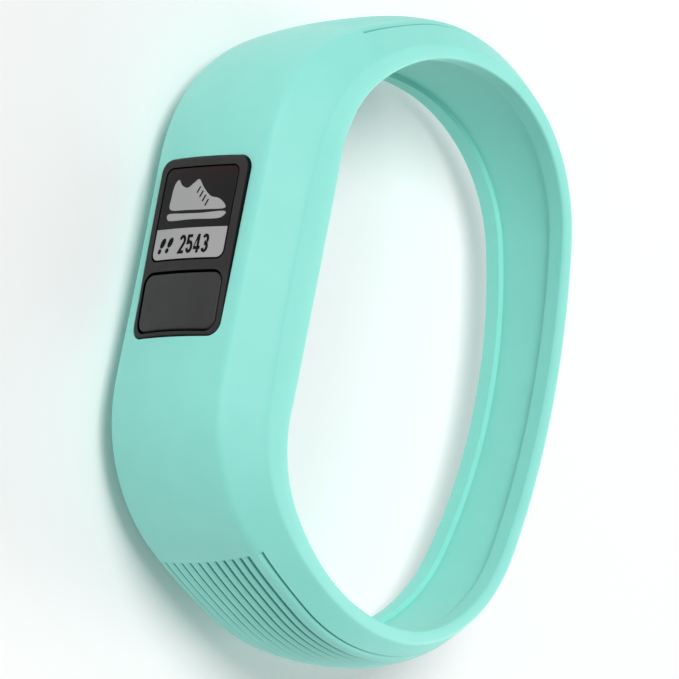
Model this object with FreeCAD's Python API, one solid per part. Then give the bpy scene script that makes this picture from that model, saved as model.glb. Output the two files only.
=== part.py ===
"""Fitness tracker band: a one-piece silicone loop round a small sealed tracker with a display and a key.

Frame: the band lies on its side. +Z is the wrist's axis, the display faces -Y, and the top of the display
is towards -X. The origin is under the middle of the band's box, on the surface that it lies on. Millimetres.
"""
import FreeCAD, Part
import math
import os

V = FreeCAD.Vector
os.makedirs("parts", exist_ok=True)

# ---- band: the loop that goes round the wrist ----
FRONT_HALF_LENGTH = 14.1      # straight front stretch, from the middle to the first arc
FRONT_INNER_Y = -21.0         # inner wall at the middle of the front
LOOP_ARCS = ((14.2, 45.0), (24.6, 52.5), (18.2, 67.5))  # radius and turn of each arc; a fourth one closes
FRONT_STATIONS = 4
STATIONS_PER_ARC = 9
CLOSING_STATIONS = 7
HALF_WIDTH_FRONT = 10.85
HALF_WIDTH_BACK = 5.45
TAPER_START = 0.11            # shares of the way from the middle of the front to the middle of the back
TAPER_POWER = 0.904
LIP_FRONT = 4.05              # thickness at the band's flat sides
LIP_BACK = 1.5
LIP_RANGE = (0.05, 0.45)
CROWN_BACK = 2.9              # thickness at the band's centre line
CROWN_STEPS = ((2.4, 0.75, 0.37), (4.25, 0.40, 0.26))   # added thickness, where it ends, over how much
RIDGE_DROP = 0.9              # the crown is this much lower at its two ridges
CROWN_SHARES = (1.0, 0.8, 0.55, 0.3)   # of the ridge's height, where the crown's curve has its points
BEVEL_FRONT = 2.63            # from each side in to the ridge
BEVEL_BACK = 0.9
RIM_FRONT = 2.4               # raised rims each side of the shallow channel inside
RIM_BACK = 2.1
CHANNEL_DEPTH = 0.6

# ---- tracker: depths run inwards from the top of the display face ----
FACE_Y = -30.86
FACE_RADII = (78.0, 24.0)     # the face curves about X, flatter at the top of the bezel than at the foot
TRACKER_X = -1.62             # middle of the tracker, from the middle of the loop
BEZEL_HALF = (10.05, 6.6)     # along X and Z
BEZEL_CORNER = 1.5
FACE_REACH = 14.0             # how far each way along X the face's surface is made
FACE_ARC = 40.0               # and how far each way round, in degrees
BODY_HALF = (15.6, 8.85)
BODY_CORNER = 3.9
SHOULDER_HALF = (14.4, 7.45)
SHOULDER_DEPTH = 2.45
BODY_FULL_DEPTH = 4.9         # where the sloping shoulder reaches full width
CASE_DEPTH = 8.7              # the case's rear rim
COVER_DEPTH = 9.9             # the rear cover's outer face
WALL = 0.75
FRONT_WALL = 2.2
SHOULDER_CORNER = 2.5
POCKET_GAP = 0.15
POCKET_END = 14.0             # past the band's inner wall
WINDOW_GAP = 0.1
WINDOW_CUT = (-3.0, 6.0)
EDGE_ROUND = 0.3
FRONT_ROOM_HALF = (9.25, 6.05)   # rooms inside the case: behind the display, in the slope, and behind it
FRONT_ROOM_BACK = 3.4
SLOPE_ROOM_HALF = (14.0, 6.9)
SLOPE_ROOM = (3.3, 5.05)

LENS_X = -3.7                 # middle of the display window, from the middle of the tracker
WINDOW_HALF = (5.32, 5.6)
WINDOW_CORNER = 1.0
LENS_GAP = 0.18
LENS_RECESS = 0.05
LENS_BACK = 1.75
ADHESIVE_BACK = 1.85
LEDGE = 0.53
PANEL_X = -3.65
PANEL_HALF = (5.55, 5.7)
PANEL_DEPTHS = (2.3, 3.3)
BACKPLATE_BACK = 3.55
BACKPLATE_INSET = 0.15
FLEX_FRONT = 2.6
FLEX_THICK = 0.12
FLEX_BULGE = 0.22             # how far the flex stands out from the panel's edge
FLEX_FOOT = 1.3
FLEX_WIDTH = 5.0

KEY_X = 6.185
KEY_HALF = (3.185, 5.77)
KEY_CORNER = 1.2
KEY_GAP = 0.25
KEY_BACK = 3.3
STEM_INSET = 0.4
FLANGE_HALF = (3.6, 6.4)
FLANGE_DEPTHS = (3.4, 3.7)
NUB_RADIUS = 1.0
NUB_BACK = 3.82
SEAL_HALF = (3.65, 6.5)
SEAL_DEPTHS = (4.25, 4.5)
DOME_RADIUS = 1.6
DOME_FRONT = 4.5
DOME_THICK = 0.08
SWITCH_FRONT = 4.75
SWITCH_HALF = 1.7

FRAME_DEPTHS = (3.6, 4.25)
FRAME_HALF = (13.6, 6.8)
FRAME_CORNER = 1.8
FRAME_OPENING_HALF = (4.3, 6.55)
OPENING_CORNER = 0.8
POST_RADIUS = 0.5
POST_SINK = 0.2               # how deep each post starts in the plate
POST_PLACES = ((0.6, 6.3), (11.1, 6.3))

BOARD_DEPTHS = (5.05, 5.65)
BOARD_X = (-2.0, 14.6)
BOARD_HALF_WIDTH = 7.9
BOARD_CORNER = 1.0
BOARD_CUT = (4.0, 7.0)
BOSS_CLEARANCE = 0.2
CORNER_CUT_HALF = 1.9
CORNER_CUT_X = 14.4
CHIPS = {                     # half size, height, x and z
    "processor_chip": ((2.4, 2.4), 0.9, 7.0, 1.0),
    "memory_chip": ((1.5, 1.25), 0.7, 6.4, -4.6),
    "motion_sensor": ((1.0, 1.0), 0.8, 10.4, -3.2),
    "timing_crystal": ((0.6, 1.6), 0.6, 3.8, 0.9),
    "antenna": ((0.8, 3.2), 0.9, 13.4, 0.0),
}
CAPACITOR_HALF = (0.5, 0.25)
CAPACITOR_HEIGHT = 0.45
CAPACITOR_PLACES = ((3.4, 5.2), (3.4, 4.0), (3.4, -4.0), (3.4, -5.2),
                    (8.4, 4.9), (9.0, -5.6), (11.4, 2.6), (11.4, 1.4))
CELL_X = -6.6
CELL_RADIUS = 8.0             # standard 1632 coin cell
CELL_DEPTHS = (5.4, 8.6)
CELL_STEP = 0.35              # the smaller negative face stands this much proud of the can
CELL_NEGATIVE_RADIUS = 6.6
CELL_NOTCH = 8.25
CELL_ROUND = 0.3
LEAF_HALF = (5.0, 1.2)        # negative contact: its leaf, disc and bump, and the leaf's place off the cell
LEAF_OFFSET = 2.4
LEAF_THICK = 0.15
DISC_RADIUS = 2.2
BUMP_RADIUS = 0.8
BLADE_HALF = (0.075, 1.2)     # positive contact: an upright blade, its foot and the step between them
BLADE_BACK = 8.2
FOOT_HALF = (0.6, 1.2)
STEP_HALF = (0.45, 1.2)

SCREW_PLACES = tuple((sx * 13.0, sz * 6.55) for sx in (-1, 1) for sz in (-1, 1))
BOSS_RADIUS = 1.08
BOSS_FRONT = 4.6
SCREW_RADIUS = 0.5
SCREW_HEAD_RADIUS = 0.95
SCREW_HEAD_HEIGHT = 0.5
SCREW_LENGTH = 3.2
SCREW_GAP = 0.05
SCREW_SINK = 0.1              # heads sit this far below the cover's face
SCREW_TIP_ROOM = 0.3
SLOT_HALF = (0.6, 0.13)       # each arm pair of the cross recess
SLOT_DEPTH = 0.25
COVER_ROUND = 0.35
GASKET_HALF = (15.35, 8.6)
GASKET_CORNER = 3.65
GASKET_WIDTH = 0.5
GASKET_THICK = 0.3


def smooth(u):
    u = min(1.0, max(0.0, u))
    return u * u * (3 - 2 * u)


def mix(a, b, t):
    return a + (b - a) * t


def inner_profile():
    """Half of the inner curve, from the front's middle to the back's middle, as (x, y, heading)."""
    points = []
    for k in range(FRONT_STATIONS):
        points.append((FRONT_HALF_LENGTH * k / FRONT_STATIONS, FRONT_INNER_Y, 0.0))
    x, y, heading = FRONT_HALF_LENGTH, FRONT_INNER_Y, 0.0
    for radius, turn in LOOP_ARCS:
        cx = x - radius * math.sin(heading)
        cy = y + radius * math.cos(heading)
        for k in range(STATIONS_PER_ARC):
            a = heading + math.radians(turn) * k / STATIONS_PER_ARC
            points.append((cx + radius * math.sin(a), cy - radius * math.cos(a), a))
        heading += math.radians(turn)
        x = cx + radius * math.sin(heading)
        y = cy - radius * math.cos(heading)
    radius = x / math.sin(heading)
    cy = y + radius * math.cos(heading)
    for k in range(CLOSING_STATIONS + 1):
        a = heading + (math.pi - heading) * k / CLOSING_STATIONS
        points.append((radius * math.sin(a), cy - radius * math.cos(a), a))
    return points


def shares(points):
    """How far along the half curve each point is, from 0 to 1."""
    run = [0.0]
    for a, b in zip(points, points[1:]):
        run.append(run[-1] + math.hypot(b[0] - a[0], b[1] - a[1]))
    return [r / run[-1] for r in run]


def band_section(s, x, y):
    """The band's section at share s: points (distance out from the inner curve, height from the middle)."""
    u = max(0.0, (s - TAPER_START) / (1 - TAPER_START))
    half = mix(HALF_WIDTH_BACK, HALF_WIDTH_FRONT, 0.5 + 0.5 * math.cos(math.pi * u ** TAPER_POWER))
    facing = 0.5 - 0.5 * y / math.hypot(x, y)
    lip = mix(LIP_FRONT, LIP_BACK, smooth((s - LIP_RANGE[0]) / (LIP_RANGE[1] - LIP_RANGE[0])))
    crown = CROWN_BACK + sum(add * smooth((end - s) / over) for add, end, over in CROWN_STEPS)
    ridge = half - mix(BEVEL_BACK, BEVEL_FRONT, facing)
    rim = mix(RIM_BACK, RIM_FRONT, facing)
    side = [(0.0, half), (lip, half)]
    for share in CROWN_SHARES:
        side.append((crown - RIDGE_DROP * share * share, ridge * share))
    channel = [(CHANNEL_DEPTH, half - rim), (0.0, half - rim)]
    upper = channel + side
    lower = [(out, -z) for out, z in reversed(upper)]
    return upper + lower


def section_wire(x, y, heading, s):
    out_x = math.sin(heading)
    out_y = -math.cos(heading)
    points = [V(x + out * out_x, y + out * out_y, z) for out, z in band_section(s, abs(x), y)]
    return Part.makePolygon(points + points[:1])


def slab(half, corner, front, back, x=0.0, z=0.0):
    """A rounded rectangle in XZ, from one depth to another, x from the middle of the tracker."""
    block = Part.makeBox(2 * half[0], back - front, 2 * half[1],
                         V(TRACKER_X + x - half[0], FACE_Y + front, z - half[1]))
    if corner == 0:
        return block
    upright = [e for e in block.Edges if abs(e.tangentAt(e.FirstParameter).y) > 0.9]
    return block.makeFillet(corner, upright)


def outline(half, corner, depth):
    """The rounded rectangle of a slab, as a wire at one depth."""
    face = min(slab(half, corner, depth, depth + 1).Faces, key=lambda f: f.CenterOfMass.y)
    return face.OuterWire


def taper(half_a, corner_a, depth_a, half_b, corner_b, depth_b):
    ends = [outline(half_a, corner_a, depth_a), outline(half_b, corner_b, depth_b)]
    return Part.makeLoft(ends, True, True)


def rod(radius, front, back, x=0.0, z=0.0):
    return Part.makeCylinder(radius, back - front, V(TRACKER_X + x, FACE_Y + front, z), V(0, 1, 0))


def face_radius(x):
    """The face's radius at x from the middle of the tracker."""
    return mix(*FACE_RADII, (x + BEZEL_HALF[0]) / (2 * BEZEL_HALF[0]))


def under_face(recess=0.0):
    """Everything behind the curved display face, whose front line is straight."""
    a = math.radians(FACE_ARC)
    ends = []
    for x in (-FACE_REACH, FACE_REACH):
        radius = face_radius(x)
        middle = FACE_Y + radius
        radius -= recess
        line = [(radius * math.cos(t), radius * math.sin(t)) for t in (-a, 0, a)]
        low, top, high = [V(TRACKER_X + x, middle - out, z) for out, z in line]
        back = [V(TRACKER_X + x, middle, z) for z in (high.z, low.z)]
        lines = Part.makePolygon([high] + back + [low]).Edges
        ends.append(Part.Wire([Part.Arc(low, top, high).toShape()] + lines))
    return Part.makeLoft(ends, True, True)


def grow(half, by):
    return (half[0] + by, half[1] + by)


def round_face_edges(shape, radius):
    """Rounds the edges where the curved face meets the walls."""
    edges = []
    for edge in shape.Edges:
        mid = edge.valueAt((edge.FirstParameter + edge.LastParameter) / 2)
        curve = face_radius(mid.x - TRACKER_X)
        depth = curve - math.hypot(mid.y - FACE_Y - curve, mid.z)
        along_y = abs(edge.tangentAt(edge.FirstParameter).y) > 0.95
        if depth < 0.02 and not along_y:
            edges.append(edge)
    return shape.makeFillet(radius, edges)


def band():
    half = inner_profile()
    share = shares(half)
    wires = [section_wire(x, y, a, s) for (x, y, a), s in zip(half, share)]
    wires += [section_wire(-x, y, -a, s) for (x, y, a), s in reversed(list(zip(half, share))[1:-1])]
    loop = Part.makeLoft(wires + wires[:1], True, True)
    window = slab(grow(BEZEL_HALF, WINDOW_GAP), BEZEL_CORNER + WINDOW_GAP, *WINDOW_CUT)
    shoulder = taper(grow(SHOULDER_HALF, POCKET_GAP), SHOULDER_CORNER, SHOULDER_DEPTH - POCKET_GAP,
                     grow(BODY_HALF, POCKET_GAP), BODY_CORNER, BODY_FULL_DEPTH - POCKET_GAP)
    pocket = slab(grow(BODY_HALF, POCKET_GAP), BODY_CORNER, BODY_FULL_DEPTH - POCKET_GAP, POCKET_END)
    return loop.cut(window.fuse([shoulder, pocket]))


def case_rooms():
    """The space inside the case, from behind the display to its open rear."""
    inside = grow(BODY_HALF, -WALL)
    corner = BODY_CORNER - WALL
    front, back = SLOPE_ROOM
    rooms = [slab(FRONT_ROOM_HALF, 0.4, FRONT_WALL, FRONT_ROOM_BACK),
             taper(SLOPE_ROOM_HALF, 2.0, front, inside, corner, back),
             slab(inside, corner, back, CASE_DEPTH + 1)]
    return rooms[0].fuse(rooms[1:])


def case_holes():
    """Screw holes, the window with its ledge, and the key's opening."""
    tip = COVER_DEPTH - SCREW_LENGTH - SCREW_TIP_ROOM
    holes = [rod(SCREW_RADIUS, tip, CASE_DEPTH + 1, x, z) for x, z in SCREW_PLACES]
    holes.append(slab(WINDOW_HALF, WINDOW_CORNER, -1, ADHESIVE_BACK, LENS_X))
    holes.append(slab(grow(WINDOW_HALF, -LEDGE), WINDOW_CORNER - LEDGE, 1, FRONT_WALL + 1, LENS_X))
    holes.append(slab(grow(KEY_HALF, KEY_GAP), KEY_CORNER + KEY_GAP, -1, BOSS_FRONT, KEY_X))
    return holes[0].fuse(holes[1:])


def front_case():
    bezel = slab(BEZEL_HALF, BEZEL_CORNER, -1, SHOULDER_DEPTH + 1).common(under_face())
    bezel = round_face_edges(bezel, EDGE_ROUND)
    shoulder = taper(SHOULDER_HALF, SHOULDER_CORNER, SHOULDER_DEPTH, BODY_HALF, BODY_CORNER, BODY_FULL_DEPTH)
    tub = slab(BODY_HALF, BODY_CORNER, BODY_FULL_DEPTH, CASE_DEPTH)
    case = bezel.fuse([shoulder, tub]).cut(case_rooms())
    limit = slab(grow(BODY_HALF, -WALL / 2), BODY_CORNER - WALL / 2, BOSS_FRONT, CASE_DEPTH)
    bosses = [rod(BOSS_RADIUS, BOSS_FRONT, CASE_DEPTH, x, z).common(limit) for x, z in SCREW_PLACES]
    return case.fuse(bosses).cut(case_holes()).removeSplitter()


def display_lens():
    lens = slab(grow(WINDOW_HALF, -LENS_GAP), WINDOW_CORNER - LENS_GAP, -1, LENS_BACK, LENS_X)
    return lens.common(under_face(LENS_RECESS))


def lens_adhesive():
    ring = slab(grow(WINDOW_HALF, -LENS_GAP), WINDOW_CORNER - LENS_GAP, LENS_BACK, ADHESIVE_BACK, LENS_X)
    return ring.cut(slab(grow(WINDOW_HALF, -LEDGE), WINDOW_CORNER - LEDGE, LENS_BACK, ADHESIVE_BACK, LENS_X))


def display_panel():
    return slab(PANEL_HALF, 0, PANEL_DEPTHS[0], PANEL_DEPTHS[1], PANEL_X)


def display_backplate():
    return slab(grow(PANEL_HALF, -BACKPLATE_INSET), 0.3, PANEL_DEPTHS[1], BACKPLATE_BACK, PANEL_X)


def display_flex():
    """Flat flexible cable from the panel's edge round to the front of the board."""
    edge = PANEL_X + PANEL_HALF[0]
    outside = edge + FLEX_BULGE
    end = outside + FLEX_FOOT
    front, thick, board = FLEX_FRONT, FLEX_THICK, BOARD_DEPTHS[0]
    path = [(edge, front), (outside, front), (outside, board - thick), (end, board - thick),
            (end, board), (outside - thick, board), (outside - thick, front + thick), (edge, front + thick)]
    points = [V(TRACKER_X + x, FACE_Y + d, -FLEX_WIDTH / 2) for x, d in path]
    return Part.Face(Part.makePolygon(points + points[:1])).extrude(V(0, 0, FLEX_WIDTH))


def inner_frame():
    """Plate that carries the display, with an opening round the key's seal and posts down to the board."""
    front, back = FRAME_DEPTHS
    plate = slab(FRAME_HALF, FRAME_CORNER, front, back)
    opening = slab(FRAME_OPENING_HALF, OPENING_CORNER, front, back, KEY_X)
    places = [(x, sz * z) for x, z in POST_PLACES for sz in (-1, 1)]
    posts = [rod(POST_RADIUS, back - POST_SINK, BOARD_DEPTHS[0], x, z) for x, z in places]
    return plate.fuse(posts).cut(opening)


def main_board():
    low, high = BOARD_X
    half = ((high - low) / 2, BOARD_HALF_WIDTH)
    board = slab(half, BOARD_CORNER, BOARD_DEPTHS[0], BOARD_DEPTHS[1], (low + high) / 2)
    cuts = [rod(CELL_NOTCH, *BOARD_CUT, CELL_X)]
    cuts += [rod(BOSS_RADIUS + BOSS_CLEARANCE, *BOARD_CUT, x, z) for x, z in SCREW_PLACES if x > 0]
    corner = (CORNER_CUT_HALF, CORNER_CUT_HALF)
    cuts += [slab(corner, 0, *BOARD_CUT, CORNER_CUT_X, sz * BOARD_HALF_WIDTH) for sz in (-1, 1)]
    return board.cut(cuts[0].fuse(cuts[1:]))


def chip(half, height, x, z):
    """A chip on the rear side of the board."""
    back = BOARD_DEPTHS[1]
    return slab(half, 0, back, back + height, x, z)


def board_capacitors():
    return Part.makeCompound([chip(CAPACITOR_HALF, CAPACITOR_HEIGHT, x, z) for x, z in CAPACITOR_PLACES])


def switch_dome():
    """Snap dome, a shallow cap of a sphere over its seat."""
    height = SWITCH_FRONT - DOME_FRONT
    radius = (DOME_RADIUS ** 2 + height ** 2) / (2 * height)
    centre = V(TRACKER_X + KEY_X, FACE_Y + DOME_FRONT + radius, 0)
    outer = Part.makeSphere(radius, centre)
    inner = Part.makeSphere(radius - DOME_THICK, centre)
    return outer.cut(inner).common(rod(DOME_RADIUS, DOME_FRONT - 0.1, SWITCH_FRONT, KEY_X))


def switch_base():
    return slab((SWITCH_HALF, SWITCH_HALF), 0.3, SWITCH_FRONT, BOARD_DEPTHS[0], KEY_X)


def key_cap():
    cap = slab(KEY_HALF, KEY_CORNER, -1, KEY_BACK, KEY_X).common(under_face())
    return round_face_edges(cap, EDGE_ROUND)


def key_plunger():
    stem = slab(grow(KEY_HALF, -STEM_INSET), KEY_CORNER - STEM_INSET, KEY_BACK, FLANGE_DEPTHS[0], KEY_X)
    flange = slab(FLANGE_HALF, 1.0, FLANGE_DEPTHS[0], FLANGE_DEPTHS[1], KEY_X)
    return stem.fuse([flange, rod(NUB_RADIUS, FLANGE_DEPTHS[1], NUB_BACK, KEY_X)]).removeSplitter()


def key_seal():
    return slab(SEAL_HALF, 1.0, SEAL_DEPTHS[0], SEAL_DEPTHS[1], KEY_X)


def battery_cell():
    front, back = CELL_DEPTHS
    can = rod(CELL_RADIUS, front + CELL_STEP, back, CELL_X)
    rims = [e for e in can.Edges if e.Length > CELL_RADIUS]
    can = can.makeFillet(CELL_ROUND, [e for e in rims if abs(e.tangentAt(e.FirstParameter).y) < 0.5])
    return can.fuse(rod(CELL_NEGATIVE_RADIUS, front, front + CELL_STEP, CELL_X)).removeSplitter()


def contact_negative():
    """Leaf and disc under the cell, with a bump that touches it."""
    top = CELL_DEPTHS[0]
    back = top - LEAF_THICK
    front = back - LEAF_THICK
    leaf = slab(LEAF_HALF, 0.6, front, back, CELL_X + LEAF_OFFSET)
    disc = rod(DISC_RADIUS, front, back, CELL_X)
    bump = rod(BUMP_RADIUS, back, top, CELL_X)
    return leaf.fuse([disc, bump]).removeSplitter()


def contact_positive():
    """Upright blade against the side of the can, standing on the board."""
    x = CELL_X + CELL_RADIUS
    board = BOARD_DEPTHS[1]
    thick = 2 * BLADE_HALF[0]
    blade = slab(BLADE_HALF, 0, board + thick, BLADE_BACK, x + BLADE_HALF[0])
    step = slab(STEP_HALF, 0, board + thick, board + 2 * thick, x + STEP_HALF[0])
    foot = slab(FOOT_HALF, 0, board, board + thick, x + STEP_HALF[0] + STEP_HALF[0])
    return blade.fuse([foot, step]).removeSplitter()


def cover_gasket():
    back = CASE_DEPTH + GASKET_THICK
    ring = slab(GASKET_HALF, GASKET_CORNER, CASE_DEPTH, back)
    return ring.cut(slab(grow(GASKET_HALF, -GASKET_WIDTH), GASKET_CORNER - GASKET_WIDTH, CASE_DEPTH, back))


def rear_cover():
    plate = slab(BODY_HALF, BODY_CORNER, CASE_DEPTH, COVER_DEPTH)
    rim = [e for e in plate.Edges if e.CenterOfMass.y > FACE_Y + COVER_DEPTH - 0.01]
    plate = plate.makeFillet(COVER_ROUND, rim).cut(cover_gasket())
    seat = COVER_DEPTH - SCREW_HEAD_HEIGHT - SCREW_SINK
    holes = []
    for x, z in SCREW_PLACES:
        holes.append(rod(SCREW_RADIUS + SCREW_GAP, CASE_DEPTH, COVER_DEPTH, x, z))
        holes.append(rod(SCREW_HEAD_RADIUS + SCREW_GAP, seat, COVER_DEPTH, x, z))
    return plate.cut(holes[0].fuse(holes[1:]))


def cover_screw(x, z):
    top = COVER_DEPTH - SCREW_SINK
    head = rod(SCREW_HEAD_RADIUS, top - SCREW_HEAD_HEIGHT, top, x, z)
    shank = rod(SCREW_RADIUS, COVER_DEPTH - SCREW_LENGTH, top - SCREW_HEAD_HEIGHT, x, z)
    arms = [slab(half, 0, top - SLOT_DEPTH, top, x, z) for half in (SLOT_HALF, SLOT_HALF[::-1])]
    return head.fuse(shank).removeSplitter().cut(arms[0].fuse(arms[1]))


def cover_screws():
    return Part.makeCompound([cover_screw(x, z) for x, z in SCREW_PLACES])


NODES = {
    "band": band(),
    "front_case": front_case(),
    "display_lens": display_lens(),
    "lens_adhesive": lens_adhesive(),
    "display_panel": display_panel(),
    "display_backplate": display_backplate(),
    "display_flex": display_flex(),
    "inner_frame": inner_frame(),
    "main_board": main_board(),
    **{name: chip(*sizes) for name, sizes in CHIPS.items()},
    "board_capacitors": board_capacitors(),
    "switch_base": switch_base(),
    "switch_dome": switch_dome(),
    "key_seal": key_seal(),
    "battery_cell": battery_cell(),
    "contact_negative": contact_negative(),
    "contact_positive": contact_positive(),
    "cover_gasket": cover_gasket(),
    "rear_cover": rear_cover(),
    "cover_screws": cover_screws(),
    "key_cap": key_cap(),
    "key_plunger": key_plunger(),
}

box = NODES["band"].BoundBox
front_y = min(box.YMin, FACE_Y)
SHIFT = V(-(box.XMin + box.XMax) / 2, -(front_y + box.YMax) / 2, HALF_WIDTH_FRONT)
for name, shape in NODES.items():
    shape.translate(SHIFT)
    shape.exportStep("parts/" + name + ".step")
    print(name, "solids", len(shape.Solids), "valid", shape.isValid(), "volume", round(shape.Volume, 2))
print("shift", SHIFT, "band box", NODES["band"].BoundBox)
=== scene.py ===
"""Looks for the fitness tracker band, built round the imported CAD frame.

The band lies on its side: +Z is the wrist's axis, the display faces -Y and its top is towards -X.
Lengths are in millimetres where nothing else is said, and MM turns them into metres where a mesh is made.
"""
import math

import bmesh
import bpy
from mathutils import Matrix, Vector
from mathutils.geometry import tessellate_polygon


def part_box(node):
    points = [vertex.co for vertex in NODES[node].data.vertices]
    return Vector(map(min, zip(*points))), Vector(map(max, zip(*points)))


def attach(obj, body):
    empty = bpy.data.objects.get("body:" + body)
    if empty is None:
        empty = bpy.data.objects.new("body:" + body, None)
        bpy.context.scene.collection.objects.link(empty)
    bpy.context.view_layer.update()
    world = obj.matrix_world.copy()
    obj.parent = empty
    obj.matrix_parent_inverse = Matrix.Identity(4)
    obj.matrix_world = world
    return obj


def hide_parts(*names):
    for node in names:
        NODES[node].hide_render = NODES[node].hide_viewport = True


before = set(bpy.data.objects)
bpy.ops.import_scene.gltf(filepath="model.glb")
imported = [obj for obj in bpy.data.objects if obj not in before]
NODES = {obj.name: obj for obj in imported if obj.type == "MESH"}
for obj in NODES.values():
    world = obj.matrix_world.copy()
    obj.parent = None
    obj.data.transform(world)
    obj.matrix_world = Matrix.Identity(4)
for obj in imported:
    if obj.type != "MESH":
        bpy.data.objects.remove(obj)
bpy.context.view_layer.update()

MM = 0.001

# ---- the band's driving sizes, as in the CAD ----
FRONT_HALF_LENGTH = 14.1
FRONT_INNER_Y = -21.0
LOOP_ARCS = ((14.2, 45.0), (24.6, 52.5), (18.2, 67.5))   # radius and turn in degrees, from the front on
HALF_WIDTH_FRONT = 10.85
HALF_WIDTH_BACK = 5.45
TAPER_START = 0.11
TAPER_POWER = 0.904
LIP_FRONT = 4.05
LIP_BACK = 1.5
LIP_RANGE = (0.05, 0.45)
CROWN_BACK = 2.9
CROWN_STEPS = ((2.4, 0.75, 0.37), (4.25, 0.40, 0.26))    # added height, where it ends, how widely it fades
RIDGE_DROP = 0.9
BEVEL_FRONT = 2.63
BEVEL_BACK = 0.9
RIM_FRONT = 2.4
RIM_BACK = 2.1
CHANNEL_DEPTH = 0.6

# ---- details that the CAD band leaves out ----
STATION_STEP = 0.45           # along the band
RIDGE_SOFT = 0.55             # how widely crown and bevel blend
LIP_ROUND = 0.45
LIP_MARGIN = 0.4              # share of the rounding that the bevel's last point keeps clear of the lip
RIM_ROUND = 0.35
CHANNEL_SLOPE = 0.1           # how far the channel's walls lean, their roundings, and the flat beside them
CHANNEL_EDGE_ROUND = 0.12
CHANNEL_FLOOR_ROUND = 0.15
CHANNEL_FLAT = 1.0
RIB_START = 0.312             # shares of the way from the front to the back
RIB_END = 0.80
RIB_FADE = 0.002              # over this share of the way the ribs start, and over RIB_END_FADE they end
RIB_END_FADE = 6 * RIB_FADE
RIB_DEPTH = 0.5
RIB_LEAN = -0.003             # how much sooner each line starts towards +Z, as a share at the ridge
RIB_EDGE = 1.04               # the ribbed panel's edges, as shares of the ridge's height from the middle
RIB_FIRST = -0.835            # first groove, spacing, and how much the spacing shrinks
RIB_PITCH = 0.2035
RIB_SHRINK = 0.0035
RIB_COUNT = 11
# a groove's profile: places beside its line, as shares of the ridge's height, and shares of its depth
GROOVE = ((-0.115, 0.0), (-0.054, 0.35), (-0.046, 1.0), (0.0, 1.0), (0.007, 0.3), (0.016, 0.0))
EDGE_LINE = 0.5               # the lines at the panel's two edges are this much narrower
GROOVE_PAINTED_SHADE = (0.5, 0.66, 0.64)   # painted shade: how much of the silicone's colour the grooves' walls and floors keep
GROOVE_SHADE = 0.29           # deeper than this share of the depth, a groove's faces get the painted shade
STEPS_PER_RIB = 3             # faces across a rib, and across the bevel
BEVEL_STEPS = 7

# ---- the tracker's sizes, as in the CAD ----
FACE_RADII = (78.0, 24.0)     # the face's curve, at the bezel's top and at its foot
BEZEL_HALF = (10.05, 6.6)
BEZEL_CORNER = 1.5
BODY_HALF = (15.6, 8.85)
BODY_CORNER = 3.9
SHOULDER_HALF = (14.4, 7.45)
SHOULDER_CORNER = 2.5
SHOULDER_DEPTH = 2.45
BODY_FULL_DEPTH = 4.9         # where the sloping shoulder reaches full width
POCKET_DEPTHS = (-3.0, 14.0)  # from in front of the band to past its inner wall
WINDOW_GAP = 0.1
POCKET_GAP = 0.15
LENS_X = -3.7                 # middle of the display window, from the middle of the tracker
WINDOW_HALF = (5.32, 5.6)
LENS_RECESS = 0.05

# ---- the display's picture ----
PRINT_THICK = 0.02
PRINT_STEP = 0.35
PRINT_WELD = 0.004            # points closer than this are one
INK_LEVEL = PRINT_THICK       # the ink lies on the pale print
STRIP_HEIGHTS = (-5.1, -1.68)
STRIP_HALF = 5.36
STRIP_CORNER = 0.85
FIGURE_HALF = (0.335, 0.88)   # from the middle of a figure to the middle of its outer strokes
FIGURE_STROKE = 0.34
FIGURE_PITCH = 1.15
SIGN_PLACE = (0.0, 1.55, 1.08)   # right, up and size
LACE = ((-0.42, -0.62), (-0.25, -0.7), (0.12, 0.0), (-0.05, 0.08))
LACE_FIRST = (0.25, 2.9)      # right and up
LACE_STEP = (0.52, -0.50)
LACE_COUNT = 4
COUNT_PLACE = (0.88, -3.5)
FOOT_PLACES = ((-3.96, -3.26), (-2.76, -3.22))
FOOT_LEAN = 26                # degrees
SOLE_HALF = (0.6, 0.36)       # long and wide
HEEL_HALF = (0.3, 0.26)
HEEL_OFFSET = (-0.35, -0.9)

# ---- floor, light and camera ----
STAGE_HALF = 1500
WORLD_STRENGTH = 0.42
LIGHT_SIZE = 0.45             # metres, as the lights' places are
LIGHTS = {                    # place and power in watts
    "key_light": ((-0.21, -0.37, 0.80), 4.9),
    "back_light": ((0.0, 0.88, 0.19), 5.2),
}
SENSOR_WIDTH = 36.0
FOCAL_LENGTH = 424.1532       # long, so nearly without perspective
CAMERA_FROM_LOOP = (206.3, -589.4, 611.8)
CAMERA_FORWARD = (-0.2358, 0.6706, -0.7033)
CAMERA_UP = (-0.9539, -0.2980, 0.0356)


def smooth(u):
    u = min(1.0, max(0.0, u))
    return u * u * (3 - 2 * u)


def mix(a, b, t):
    return a + (b - a) * t


# ---------------------------------------------------------------- the band's shape
def inner_pieces():
    """The inner curve's pieces, from the front's middle to the back's: (length, x, y, heading, radius)."""
    x, y, heading = FRONT_HALF_LENGTH, FRONT_INNER_Y, 0.0
    pieces = [(FRONT_HALF_LENGTH, 0.0, FRONT_INNER_Y, 0.0, None)]
    for radius, turn in LOOP_ARCS:
        turn = math.radians(turn)
        pieces.append((radius * turn, x, y, heading, radius))
        x += radius * (math.sin(heading + turn) - math.sin(heading))
        y += radius * (math.cos(heading) - math.cos(heading + turn))
        heading += turn
    radius = x / math.sin(heading)
    pieces.append((radius * (math.pi - heading), x, y, heading, radius))
    return pieces


PIECES = inner_pieces()
HALF_LOOP = sum(p[0] for p in PIECES)


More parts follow.
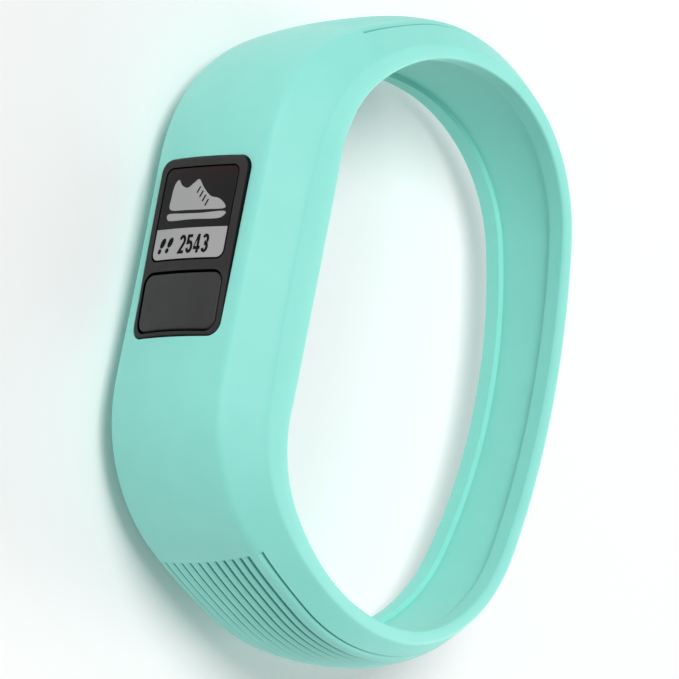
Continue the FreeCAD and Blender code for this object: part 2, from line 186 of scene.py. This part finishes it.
def inner_point(share):
    """Point and heading on the inner curve."""
    left = share * HALF_LOOP
    for length, x, y, heading, radius in PIECES:
        if left <= length + 1e-9:
            break
        left -= length
    left = min(left, length)
    if radius is None:
        return x + left, y, heading
    end = heading + left / radius
    return (x + radius * (math.sin(end) - math.sin(heading)),
            y + radius * (math.cos(heading) - math.cos(end)), end)


def sizes_at(share):
    """Half width, lip, crown, ridge height and rim of the band's section."""
    x, y, _ = inner_point(share)
    u = max(0.0, (share - TAPER_START) / (1 - TAPER_START))
    half = mix(HALF_WIDTH_BACK, HALF_WIDTH_FRONT, 0.5 + 0.5 * math.cos(math.pi * u ** TAPER_POWER))
    facing = 0.5 - 0.5 * y / math.hypot(x, y)
    lip = mix(LIP_FRONT, LIP_BACK, smooth((share - LIP_RANGE[0]) / (LIP_RANGE[1] - LIP_RANGE[0])))
    crown = CROWN_BACK + sum(add * smooth((end - share) / over) for add, end, over in CROWN_STEPS)
    ridge = half - mix(BEVEL_BACK, BEVEL_FRONT, facing)
    return half, lip, crown, ridge, mix(RIM_BACK, RIM_FRONT, facing)


def outer_level(z, half, lip, crown, ridge):
    """How far out the surface stands at height z from the band's middle, with a soft ridge."""
    z = abs(z)
    top = crown - RIDGE_DROP * (z / ridge) ** 2
    edge = crown - RIDGE_DROP
    slope = mix(edge, lip, (z - ridge) / (half - ridge))
    h = min(1.0, max(0.0, 0.5 + 0.5 * (slope - top) / RIDGE_SOFT))
    return mix(slope, top, h) - RIDGE_SOFT * h * (1 - h)


def groove_lines():
    lines = [RIB_FIRST + RIB_PITCH * k - RIB_SHRINK * k * k for k in range(RIB_COUNT)]
    return [-RIB_EDGE] + lines + [RIB_EDGE]


def rib_marks():
    """Places across the crown, edge to edge: (share of ridge height, share of the groove's depth)."""
    lines = groove_lines()
    marks = [(lines[0] - off * EDGE_LINE, depth) for off, depth in reversed(GROOVE)]
    for line in lines[1:]:
        width = EDGE_LINE if line == lines[-1] else 1.0
        start, end = marks[-1][0], line + GROOVE[0][0] * width
        marks += [(mix(start, end, k / STEPS_PER_RIB), 0.0) for k in range(1, STEPS_PER_RIB)]
        marks += [(line + off * width, depth) for off, depth in GROOVE]
    return marks


MARKS = rib_marks()


def rib_share(share, u):
    """How much of the ribs' depth there is at this share of the way round, and u of the ridge's height."""
    start = RIB_START + RIB_LEAN * u
    return min(smooth((share - start) / RIB_FADE), smooth((RIB_END - share) / RIB_END_FADE))


def bend(a, corner, b, radius, steps=3):
    """A few points that round a corner between a and b."""
    corner, a, b = Vector(corner), Vector(a), Vector(b)
    start = corner + (a - corner).normalized() * min(radius, (a - corner).length * 0.45)
    end = corner + (b - corner).normalized() * min(radius, (b - corner).length * 0.45)
    points = []
    for k in range(steps + 1):
        t = k / steps
        points.append(start * (1 - t) ** 2 + corner * 2 * t * (1 - t) + end * t * t)
    return points


def section(share):
    """The band's closed section as (distance out, height) points, always the same number of them."""
    half, lip, crown, ridge, rim = sizes_at(share)
    middle = []
    for u, groove in MARKS:
        z = u * ridge
        depth = RIB_DEPTH * groove * rib_share(share, u)
        middle.append((outer_level(z, half, lip, crown, ridge) - depth, z))
    last = MARKS[-1][0] * ridge
    side = []
    for k in range(1, BEVEL_STEPS + 1):
        z = mix(last, half - LIP_ROUND * LIP_MARGIN, k / BEVEL_STEPS)
        side.append((outer_level(z, half, lip, crown, ridge), z))
    before = side.pop()
    inner = half - rim
    foot = inner - CHANNEL_SLOPE
    floor = CHANNEL_DEPTH
    side += bend(before, (lip, half), (0.5 * lip, half), LIP_ROUND)
    side += [(lip * 0.5, half)]
    side += bend((lip * 0.5, half), (0.0, half), (0.0, half - rim / 2), RIM_ROUND)
    side += [(0.0, mix(half, inner, 0.5)), (0.0, mix(half, inner, 0.75))]
    side += bend((0.0, half - rim * 0.75), (0.0, inner), (floor, foot), CHANNEL_EDGE_ROUND, 2)
    side += bend((0.0, inner), (floor, foot), (floor, inner - CHANNEL_FLAT), CHANNEL_FLOOR_ROUND, 2)
    side += [(floor, inner * 0.8), (floor, inner * 0.5), (floor, inner * 0.2)]
    upper = [tuple(p) for p in side]
    lower = [(out, -z) for out, z in reversed(upper)]
    return lower + middle + upper


def station_shares():
    """Shares of the way round, closer together where the ribs start and end."""
    count = round(HALF_LOOP / STATION_STEP)
    shares = [k / count for k in range(count + 1)]
    near = [RIB_START + 1.2 * RIB_LEAN + 0.5 * k * RIB_FADE for k in range(10)]
    near += [RIB_END - RIB_END_FADE + k * RIB_FADE for k in range(7)]
    clear = 0.4 / count
    kept = [s for s in shares if all(abs(s - n) > clear for n in near)]
    return sorted(kept + near)


def mesh_object(name, vertices, faces):
    mesh = bpy.data.meshes.new(name)
    mesh.from_pydata([Vector(v) * MM for v in vertices], [], faces)
    mesh.validate()
    mesh.update()
    obj = bpy.data.objects.new(name, mesh)
    bpy.context.scene.collection.objects.link(obj)
    return obj


def outward(obj):
    """Makes the faces of a closed mesh point outwards."""
    work = bmesh.new()
    work.from_mesh(obj.data)
    bmesh.ops.recalc_face_normals(work, faces=work.faces)
    work.to_mesh(obj.data)
    work.free()


def soften(obj, angle=32):
    """Smooth shading, with sharp edges kept."""
    obj.data.shade_smooth()
    obj.data.set_sharp_from_angle(angle=math.radians(angle))


def apply_modifiers(obj):
    bpy.context.view_layer.update()
    evaluated = obj.evaluated_get(bpy.context.evaluated_depsgraph_get())
    mesh = bpy.data.meshes.new_from_object(evaluated)
    obj.modifiers.clear()
    obj.data = mesh


def loop_back():
    """The loop's furthest point back, in the band's own frame."""
    return inner_point(1.0)[1] + outer_level(0, *sizes_at(1.0)[:4])


LOW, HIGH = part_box("band")
CASE_LOW, CASE_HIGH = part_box("front_case")
LOOP = Vector(((LOW.x + HIGH.x) / 2 / MM, HIGH.y / MM - loop_back(), (LOW.z + HIGH.z) / 2 / MM))
FACE = Vector(((CASE_LOW.x + CASE_HIGH.x) / 2 / MM, CASE_LOW.y / MM, (CASE_LOW.z + CASE_HIGH.z) / 2 / MM))


def rounded_outline(half, corner, steps=8):
    """A rounded rectangle's points in XZ, about the tracker's middle."""
    points = []
    for cx, cz, start in ((1, 1, 0), (-1, 1, 90), (-1, -1, 180), (1, -1, 270)):
        for k in range(steps + 1):
            a = math.radians(start + 90 * k / steps)
            points.append((cx * (half[0] - corner) + corner * math.cos(a),
                           cz * (half[1] - corner) + corner * math.sin(a)))
    return points


def rings_object(name, rings):
    """A closed solid through rings of equal length, each a list of points."""
    count = len(rings[0])
    vertices = [p for ring in rings for p in ring]
    faces = [tuple(reversed(range(count)))]
    for r in range(len(rings) - 1):
        for k in range(count):
            n = (k + 1) % count
            faces.append((r * count + k, r * count + n, (r + 1) * count + n, (r + 1) * count + k))
    faces.append(tuple(range((len(rings) - 1) * count, len(rings) * count)))
    obj = mesh_object(name, vertices, faces)
    outward(obj)
    return obj


def at_depth(points, depth, x=0.0):
    return [(FACE.x + x + px, FACE.y + depth, FACE.z + pz) for px, pz in points]


def grow(half, by):
    return (half[0] + by, half[1] + by)


def tracker_cutter():
    """The band's window, sloping shoulder and pocket, as one solid."""
    window = rounded_outline(grow(BEZEL_HALF, WINDOW_GAP), BEZEL_CORNER + WINDOW_GAP)
    shoulder = rounded_outline(grow(SHOULDER_HALF, POCKET_GAP), SHOULDER_CORNER)
    body = rounded_outline(grow(BODY_HALF, POCKET_GAP), BODY_CORNER)
    front, back = POCKET_DEPTHS
    step = SHOULDER_DEPTH - POCKET_GAP
    rings = [at_depth(window, front), at_depth(window, step), at_depth(shoulder, step),
             at_depth(body, BODY_FULL_DEPTH - POCKET_GAP), at_depth(body, back)]
    return rings_object("cutter", rings)


def in_groove(share, mark):
    """True for the strip of faces that starts at this mark, where it is the wall or floor of a groove,
    which gets painted shade.
    """
    if not 0 <= mark < len(MARKS) - 1 or rib_share(share, MARKS[mark][0]) < 0.5:
        return False
    return min(MARKS[mark][1], MARKS[mark + 1][1]) > GROOVE_SHADE


def make_band():
    shares = station_shares()
    stations = [(s, 1) for s in shares] + [(s, -1) for s in reversed(shares[1:-1])]
    vertices = []
    for share, side in stations:
        x, y, heading = inner_point(share)
        out_x, out_y = math.sin(heading), -math.cos(heading)
        for out, z in section(share):
            vertices.append((LOOP.x + side * (x + out * out_x), LOOP.y + y + out * out_y, LOOP.z + z))
    count = len(vertices) // len(stations)
    faces = []
    # faces in the grooves take a copy of the silicone with painted shade in its colour
    painted_shade_flags = []
    for r, (share, side) in enumerate(stations):
        a, b = r * count, (r + 1) % len(stations) * count
        for k in range(count):
            n = (k + 1) % count
            faces.append((a + k, a + n, b + n, b + k))
            painted_shade_flags.append(int(in_groove(share, k - (count - len(MARKS)) // 2)))
    band = mesh_object("silicone_band", vertices, faces)
    band.data.polygons.foreach_set("material_index", painted_shade_flags)
    for made in (silicone("silicone", (1, 1, 1)), silicone("silicone_groove_painted_shade", GROOVE_PAINTED_SHADE)):
        band.data.materials.append(made)
    outward(band)
    cutter = tracker_cutter()
    cut = band.modifiers.new("window", "BOOLEAN")
    cut.object = cutter
    cut.operation = "DIFFERENCE"
    cut.solver = "EXACT"
    apply_modifiers(band)
    bpy.data.objects.remove(cutter)
    soften(band)
    return band


# ---------------------------------------------------------------- materials
def material(name, color, roughness, **sockets):
    made = bpy.data.materials.new(name)
    made.use_nodes = True
    shader = made.node_tree.nodes["Principled BSDF"]
    shader.inputs["Base Color"].default_value = (*color, 1)
    shader.inputs["Roughness"].default_value = roughness
    for socket, value in sockets.items():
        shader.inputs[socket.replace("_", " ")].default_value = value
    return made


def node(made, kind, inputs=(), **values):
    new = made.node_tree.nodes.new(kind)
    for key, value in values.items():
        setattr(new, key, value)
    for key, value in dict(inputs).items():
        new.inputs[key].default_value = value
    return new


def wire(made, source, output, target, socket):
    made.node_tree.links.new(source.outputs[output], target.inputs[socket])


def add_grain(made, scale, strength, distance, color_a, color_b, rough):
    """Fine moulded grain: bump, slight changes of colour and of roughness, all from object-space noise."""
    shader = made.node_tree.nodes["Principled BSDF"]
    place = node(made, "ShaderNodeTexCoord")
    fine = node(made, "ShaderNodeTexNoise", {"Scale": scale, "Detail": 3.0, "Roughness": 0.6})
    broad = node(made, "ShaderNodeTexNoise", {"Scale": scale / 40, "Detail": 2.0})
    for texture in (fine, broad):
        wire(made, place, "Object", texture, "Vector")
    bump = node(made, "ShaderNodeBump", {"Strength": strength, "Distance": distance})
    wire(made, fine, "Fac", bump, "Height")
    wire(made, bump, "Normal", shader, "Normal")
    ramp = node(made, "ShaderNodeValToRGB")
    ramp.color_ramp.elements[0].position = 0.3
    ramp.color_ramp.elements[1].position = 0.7
    ramp.color_ramp.elements[0].color = (*color_a, 1)
    ramp.color_ramp.elements[1].color = (*color_b, 1)
    wire(made, broad, "Fac", ramp, "Fac")
    wire(made, ramp, "Color", shader, "Base Color")
    spread = node(made, "ShaderNodeMapRange", {"To Min": rough[0], "To Max": rough[1]})
    wire(made, fine, "Fac", spread, "Value")
    wire(made, spread, "Result", shader, "Roughness")


def silicone(name, tone):
    shades = ((0.259, 0.752, 0.662), (0.274, 0.772, 0.683))
    # the colour is scaled by a painted shade factor, (1, 1, 1) for the plain silicone
    dark, light = [[share * part for share, part in zip(tone, shade)] for shade in shades]
    made = material(name, dark, 0.55)
    add_grain(made, 9000, 0.12, 0.00002, dark, light, (0.48, 0.62))
    shader = made.node_tree.nodes["Principled BSDF"]
    shader.inputs["Subsurface Weight"].default_value = 0.06
    shader.inputs["Subsurface Radius"].default_value = (0.0008, 0.0012, 0.0011)
    shader.inputs["Subsurface Scale"].default_value = 1.0
    shader.inputs["Sheen Weight"].default_value = 0.15
    shader.inputs["Sheen Roughness"].default_value = 0.5
    return made


def moulded(name, dark, light, rough, gloss=0.5):
    made = material(name, dark, rough[0], Specular_IOR_Level=gloss)
    add_grain(made, 14000, 0.15, 0.00002, dark, light, rough)
    return made


def tint(made, factor, output, color):
    """Blends a material's colour towards another one by a factor."""
    shader = made.node_tree.nodes["Principled BSDF"]
    ramp = made.node_tree.nodes["Color Ramp"]
    blend = node(made, "ShaderNodeMix", data_type="RGBA")
    wire(made, factor, output, blend, "Factor")
    made.node_tree.links.new(ramp.outputs["Color"], blend.inputs[6])
    blend.inputs[7].default_value = (*color, 1)
    made.node_tree.links.new(blend.outputs[2], shader.inputs["Base Color"])


def paint_shade_on_sides(made):
    """Painted shade: near black on every face that doesn't look out of the display side."""
    place = made.node_tree.nodes["Texture Coordinate"]
    split = node(made, "ShaderNodeSeparateXYZ")
    wire(made, place, "Normal", split, "Vector")
    side = node(made, "ShaderNodeMapRange", {"From Min": -0.72, "From Max": -0.55})
    wire(made, split, "Y", side, "Value")
    tint(made, side, "Result", (0.003, 0.003, 0.003))


def printed(name, dark, light, rough, gloss=0.5):
    """Smooth screen print, film or lacquer, with faint mottling."""
    made = material(name, dark, rough, Specular_IOR_Level=gloss)
    add_grain(made, 5000, 0.05, 0.00001, dark, light, (rough - 0.04, rough + 0.04))
    return made


def metal(name, dark, light, rough):
    made = material(name, dark, rough[0], Metallic=1.0)
    add_grain(made, 7000, 0.08, 0.00001, dark, light, rough)
    return made


def window_black():
    """Hard-coated window: near black, with a faint warm tone towards its top edge."""
    made = material("window_black", (0.010, 0.010, 0.010), 0.2, Specular_IOR_Level=0.12)
    add_grain(made, 6000, 0.03, 0.00001, (0.009, 0.009, 0.009), (0.012, 0.011, 0.011), (0.2, 0.26))
    place = made.node_tree.nodes["Texture Coordinate"]
    split = node(made, "ShaderNodeSeparateXYZ")
    wire(made, place, "Object", split, "Vector")
    top = (FACE.x + LENS_X - WINDOW_HALF[0]) * MM
    fade = node(made, "ShaderNodeMapRange", {"From Min": top + 2.4 * MM, "From Max": top})
    wire(made, split, "X", fade, "Value")
    tint(made, fade, "Result", (0.020, 0.009, 0.010))
    return made


def dress(names, made):
    """Gives CAD nodes a material."""
    for name in names:
        data = NODES[name].data
        data.materials.clear()
        data.materials.append(made)


# ---------------------------------------------------------------- the display's picture
def on_window(right, up, height):
    """A point on the curved display window: right and up from its middle, and height above its surface."""
    x = LENS_X - up
    curve = mix(*FACE_RADII, (x + BEZEL_HALF[0]) / (2 * BEZEL_HALF[0]))
    radius = curve - LENS_RECESS + height
    depth = curve - math.sqrt(radius * radius - right * right)
    return (FACE.x + x, FACE.y + depth, FACE.z + right)


def picture(name, shapes, height, made, thick=PRINT_THICK):
    """Flat shapes, each an outline and its holes, laid on the curved window as one thin raised print."""
    work = bmesh.new()
    for shape in shapes:
        loops = [[Vector((right, up, 0)) for right, up in loop] for loop in shape]
        corners = [work.verts.new(point) for loop in loops for point in loop]
        for triangle in tessellate_polygon(loops):
            work.faces.new([corners[k] for k in triangle])
    steps = int(WINDOW_HALF[1] / PRINT_STEP)
    for k in range(-steps, steps + 1):
        every = work.verts[:] + work.edges[:] + work.faces[:]
        place = (k * PRINT_STEP, 0, 0)
        bmesh.ops.bisect_plane(work, geom=every, dist=PRINT_WELD, plane_co=place, plane_no=(1, 0, 0))
    bmesh.ops.remove_doubles(work, verts=work.verts, dist=PRINT_WELD)
    bmesh.ops.dissolve_degenerate(work, edges=work.edges, dist=PRINT_WELD)
    top = bmesh.ops.extrude_face_region(work, geom=work.faces[:])
    raised = {v for v in top["geom"] if isinstance(v, bmesh.types.BMVert)}
    for vertex in work.verts:
        level = height + (thick if vertex in raised else 0.0)
        vertex.co = Vector(on_window(vertex.co.x, vertex.co.y, level)) * MM
    bmesh.ops.recalc_face_normals(work, faces=work.faces)
    mesh = bpy.data.meshes.new(name)
    work.to_mesh(mesh)
    work.free()
    obj = bpy.data.objects.new(name, mesh)
    bpy.context.scene.collection.objects.link(obj)
    mesh.materials.append(made)
    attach(obj, "tracker")
    return obj


def curve_through(points, steps=6):
    """A closed smooth outline through a few points."""
    count = len(points)
    outline = []
    for k in range(count):
        before, a, b, after = (Vector(points[(k + n) % count]) for n in (-1, 0, 1, 2))
        for step in range(steps):
            t = step / steps
            point = 0.5 * ((2 * a) + (b - before) * t + (2 * before - 5 * a + 4 * b - after) * t ** 2
                           + (3 * a - before - 3 * b + after) * t ** 3)
            outline.append(tuple(point))
    return outline


def oval(right, up, long, wide, lean):
    """A leaning ellipse, as one outline."""
    lean = math.radians(lean)
    points = []
    for k in range(20):
        a = 2 * math.pi * k / 20
        x, y = wide * math.cos(a), long * math.sin(a)
        across = right + x * math.cos(lean) + y * math.sin(lean)
        points.append((across, up - x * math.sin(lean) + y * math.cos(lean)))
    return points


def shoe_outlines():
    """A plain running shoe seen from the side, upper and sole."""
    upper = [(-3.55, -0.95), (-3.75, 0.3), (-3.6, 1.6), (-3.1, 2.15), (-2.5, 1.55),
             (-1.6, 1.25), (-0.75, 1.75), (-0.1, 2.05), (0.75, 1.15), (1.9, 0.25),
             (3.1, -0.05), (3.95, -0.6), (4.05, -1.1), (2.0, -1.15), (-1.0, -1.1)]
    sole = [(-3.7, -1.4), (-1.5, -1.45), (1.0, -1.5), (4.15, -1.4), (4.05, -1.95),
            (3.0, -2.15), (0.0, -2.1), (-3.0, -2.15), (-3.75, -1.95)]
    return curve_through(upper), curve_through(sole, 4)


def shifted(outline, right, up, size=1.0):
    return [(right + x * size, up + y * size) for x, y in outline]


def strip_outline():
    """The light strip at the foot of the display: square above, rounded below."""
    low, high = STRIP_HEIGHTS
    half, corner = STRIP_HALF, STRIP_CORNER
    points = [(half, high), (-half, high)]
    for cx, start in ((-1, 180), (1, 270)):
        for k in range(9):
            a = math.radians(start + 90 * k / 8)
            across = cx * (half - corner) + corner * math.cos(a)
            points.append((across, low + corner + corner * math.sin(a)))
    return points


def arc(x, y, wide, tall, start, end, steps=10):
    """Points of part of an ellipse."""
    points = []
    for k in range(steps + 1):
        a = math.radians(mix(start, end, k / steps))
        points.append((x + wide * math.cos(a), y + tall * math.sin(a)))
    return points


def stroke(path):
    """The outline of a line of even width along a path, with mitred corners."""
    path = [Vector((x * FIGURE_HALF[0], y * FIGURE_HALF[1])) for x, y in path]
    left, right = [], []
    for k, point in enumerate(path):
        before = (point - path[k - 1]).normalized() if k else (path[1] - point).normalized()
        after = (path[k + 1] - point).normalized() if k + 1 < len(path) else before
        along = (before + after).normalized()
        across = Vector((-along.y, along.x)) * (FIGURE_STROKE / 2 / max(0.5, along.dot(after)))
        left.append(tuple(point + across))
        right.append(tuple(point - across))
    return left + right[::-1]


def figures():
    """The plain figures 2, 5, 4 and 3, each as an outline and its holes about its own middle."""
    two = arc(0, 0.45, 1, 0.55, 165, -35) + [(-0.95, -1), (1.1, -1)]
    five = [(0.95, 1), (-0.85, 1), (-0.9, 0.12)] + arc(0, -0.38, 1, 0.62, 125, -165)
    three = arc(0, 0.5, 0.95, 0.5, 155, -80, 8) + arc(0, -0.47, 1, 0.53, 80, -160)
    w, h, line = FIGURE_HALF[0] * 1.45, FIGURE_HALF[1] + FIGURE_STROKE / 2, FIGURE_STROKE
    low = -h * 0.62
    high = low + line
    right = w * 0.62
    left = right - line
    inside = [(left, high), (left, h * 0.42), (line * 0.35 - w, high)]
    four = [(-w, low), (left, low), (left, -h), (right, -h), (right, low), (w, low),
            (w, high), (right, high), (right, h), (left, h), (-w, high)]
    return [[stroke(two)], [stroke(five)], [four, inside], [stroke(three)]]


def step_count(right, up, made):
    shapes = []
    for k, figure in enumerate(figures()):
        shapes.append([shifted(loop, right + FIGURE_PITCH * (k - 1.5), up) for loop in figure])
    picture("step_count", shapes, INK_LEVEL, made)


def make_display():
    pale = printed("display_pale", (0.36, 0.36, 0.355), (0.39, 0.39, 0.385), 0.35)
    ink = printed("display_ink", (0.0035, 0.0035, 0.0035), (0.005, 0.0045, 0.0045), 0.45, 0.05)
    picture("count_strip", [[strip_outline()]], 0.0, pale)
    upper, sole = shoe_outlines()
    picture("shoe_sign", [[shifted(upper, *SIGN_PLACE)], [shifted(sole, *SIGN_PLACE)]], 0.0, pale)
    laces = []
    for k in range(LACE_COUNT):
        right, up = LACE_FIRST[0] + LACE_STEP[0] * k, LACE_FIRST[1] + LACE_STEP[1] * k
        laces.append([shifted(LACE, right, up)])
    picture("shoe_laces", laces, INK_LEVEL, ink)
    prints = []
    for right, up in FOOT_PLACES:
        prints.append([oval(right, up, *SOLE_HALF, FOOT_LEAN)])
        prints.append([oval(right + HEEL_OFFSET[0], up + HEEL_OFFSET[1], *HEEL_HALF, FOOT_LEAN)])
    picture("footprints", prints, INK_LEVEL, ink)
    step_count(*COUNT_PLACE, ink)


def make_tracker_looks():
    """Materials for the CAD pieces of the tracker, and the picture on its display."""
    charcoal = moulded("charcoal", (0.031, 0.0297, 0.0305), (0.036, 0.0347, 0.0355), (0.48, 0.6), 0.12)
    # the case's sides get painted shade, near black
    paint_shade_on_sides(charcoal)
    dress(["front_case", "rear_cover"], charcoal)
    dress(["key_cap"],
          moulded("key_charcoal", (0.029, 0.029, 0.029), (0.034, 0.034, 0.034), (0.48, 0.6), 0.3))
    dress(["display_lens"], window_black())
    dress(["lens_adhesive", "key_seal", "cover_gasket"],
          moulded("seal_black", (0.018, 0.018, 0.018), (0.026, 0.026, 0.026), (0.6, 0.75)))
    dress(["display_panel"], printed("panel_grey", (0.10, 0.10, 0.10), (0.13, 0.13, 0.13), 0.25))
    dress(["display_flex"], printed("flex_amber", (0.45, 0.17, 0.03), (0.52, 0.22, 0.05), 0.3))
    dress(["inner_frame", "switch_base", "key_plunger"],
          moulded("inner_plastic", (0.06, 0.06, 0.065), (0.075, 0.075, 0.08), (0.5, 0.62)))
    dress(["main_board"], printed("board_green", (0.012, 0.10, 0.045), (0.02, 0.14, 0.06), 0.35))
    dress(["processor_chip", "memory_chip", "motion_sensor"],
          moulded("chip_resin", (0.015, 0.015, 0.016), (0.022, 0.022, 0.023), (0.5, 0.65)))
    dress(["antenna", "board_capacitors"], printed("ceramic", (0.42, 0.36, 0.27), (0.5, 0.44, 0.34), 0.45))
    dress(["display_backplate", "switch_dome", "timing_crystal", "battery_cell"],
          metal("plated_steel", (0.60, 0.60, 0.59), (0.68, 0.68, 0.67), (0.24, 0.36)))
    dress(["contact_positive", "contact_negative"],
          metal("contact_gold", (0.72, 0.52, 0.22), (0.80, 0.60, 0.28), (0.22, 0.32)))
    dress(["cover_screws"], metal("screw_steel", (0.38, 0.38, 0.39), (0.46, 0.46, 0.47), (0.28, 0.4)))
    make_display()


# ---------------------------------------------------------------- floor, light and camera
def make_stage():
    corners = [(x * STAGE_HALF, y * STAGE_HALF, 0) for x, y in ((-1, -1), (1, -1), (1, 1), (-1, 1))]
    floor = mesh_object("floor", corners, [(0, 1, 2, 3)])
    pale = material("pale_floor", (0.95, 0.95, 0.95), 0.9)
    floor.data.materials.append(pale)
    world = bpy.data.worlds.new("studio")
    world.use_nodes = True
    world.node_tree.nodes["Background"].inputs["Color"].default_value = (1, 1, 1, 1)
    world.node_tree.nodes["Background"].inputs["Strength"].default_value = WORLD_STRENGTH
    bpy.context.scene.world = world
    for name, (place, power) in LIGHTS.items():
        add_light(name, place, LIGHT_SIZE, power)


def add_light(name, place, size, power):
    data = bpy.data.lights.new(name, "AREA")
    data.shape = "DISK"
    data.size = size
    data.energy = power
    light = bpy.data.objects.new(name, data)
    light.location = place
    light.rotation_euler = (-Vector(place)).to_track_quat("-Z", "Y").to_euler()
    bpy.context.scene.collection.objects.link(light)


def make_camera():
    """A long lens from above the display's lower end, turned so that the display stands upright."""
    data = bpy.data.cameras.new("camera")
    data.sensor_width = SENSOR_WIDTH
    data.lens = FOCAL_LENGTH
    data.clip_end = 10
    camera = bpy.data.objects.new("camera", data)
    forward = Vector(CAMERA_FORWARD).normalized()
    up = Vector(CAMERA_UP)
    right = forward.cross(up).normalized()
    up = right.cross(forward)
    turn = Matrix((right, up, -forward)).transposed().to_4x4()
    place = (LOOP + Vector(CAMERA_FROM_LOOP)) * MM
    camera.matrix_world = Matrix.Translation(place) @ turn
    bpy.context.scene.collection.objects.link(camera)
    bpy.context.scene.camera = camera


bpy.context.scene.view_settings.view_transform = "Standard"
make_camera()
make_stage()
band = make_band()
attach(band, "band")
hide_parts("band")

make_tracker_looks()
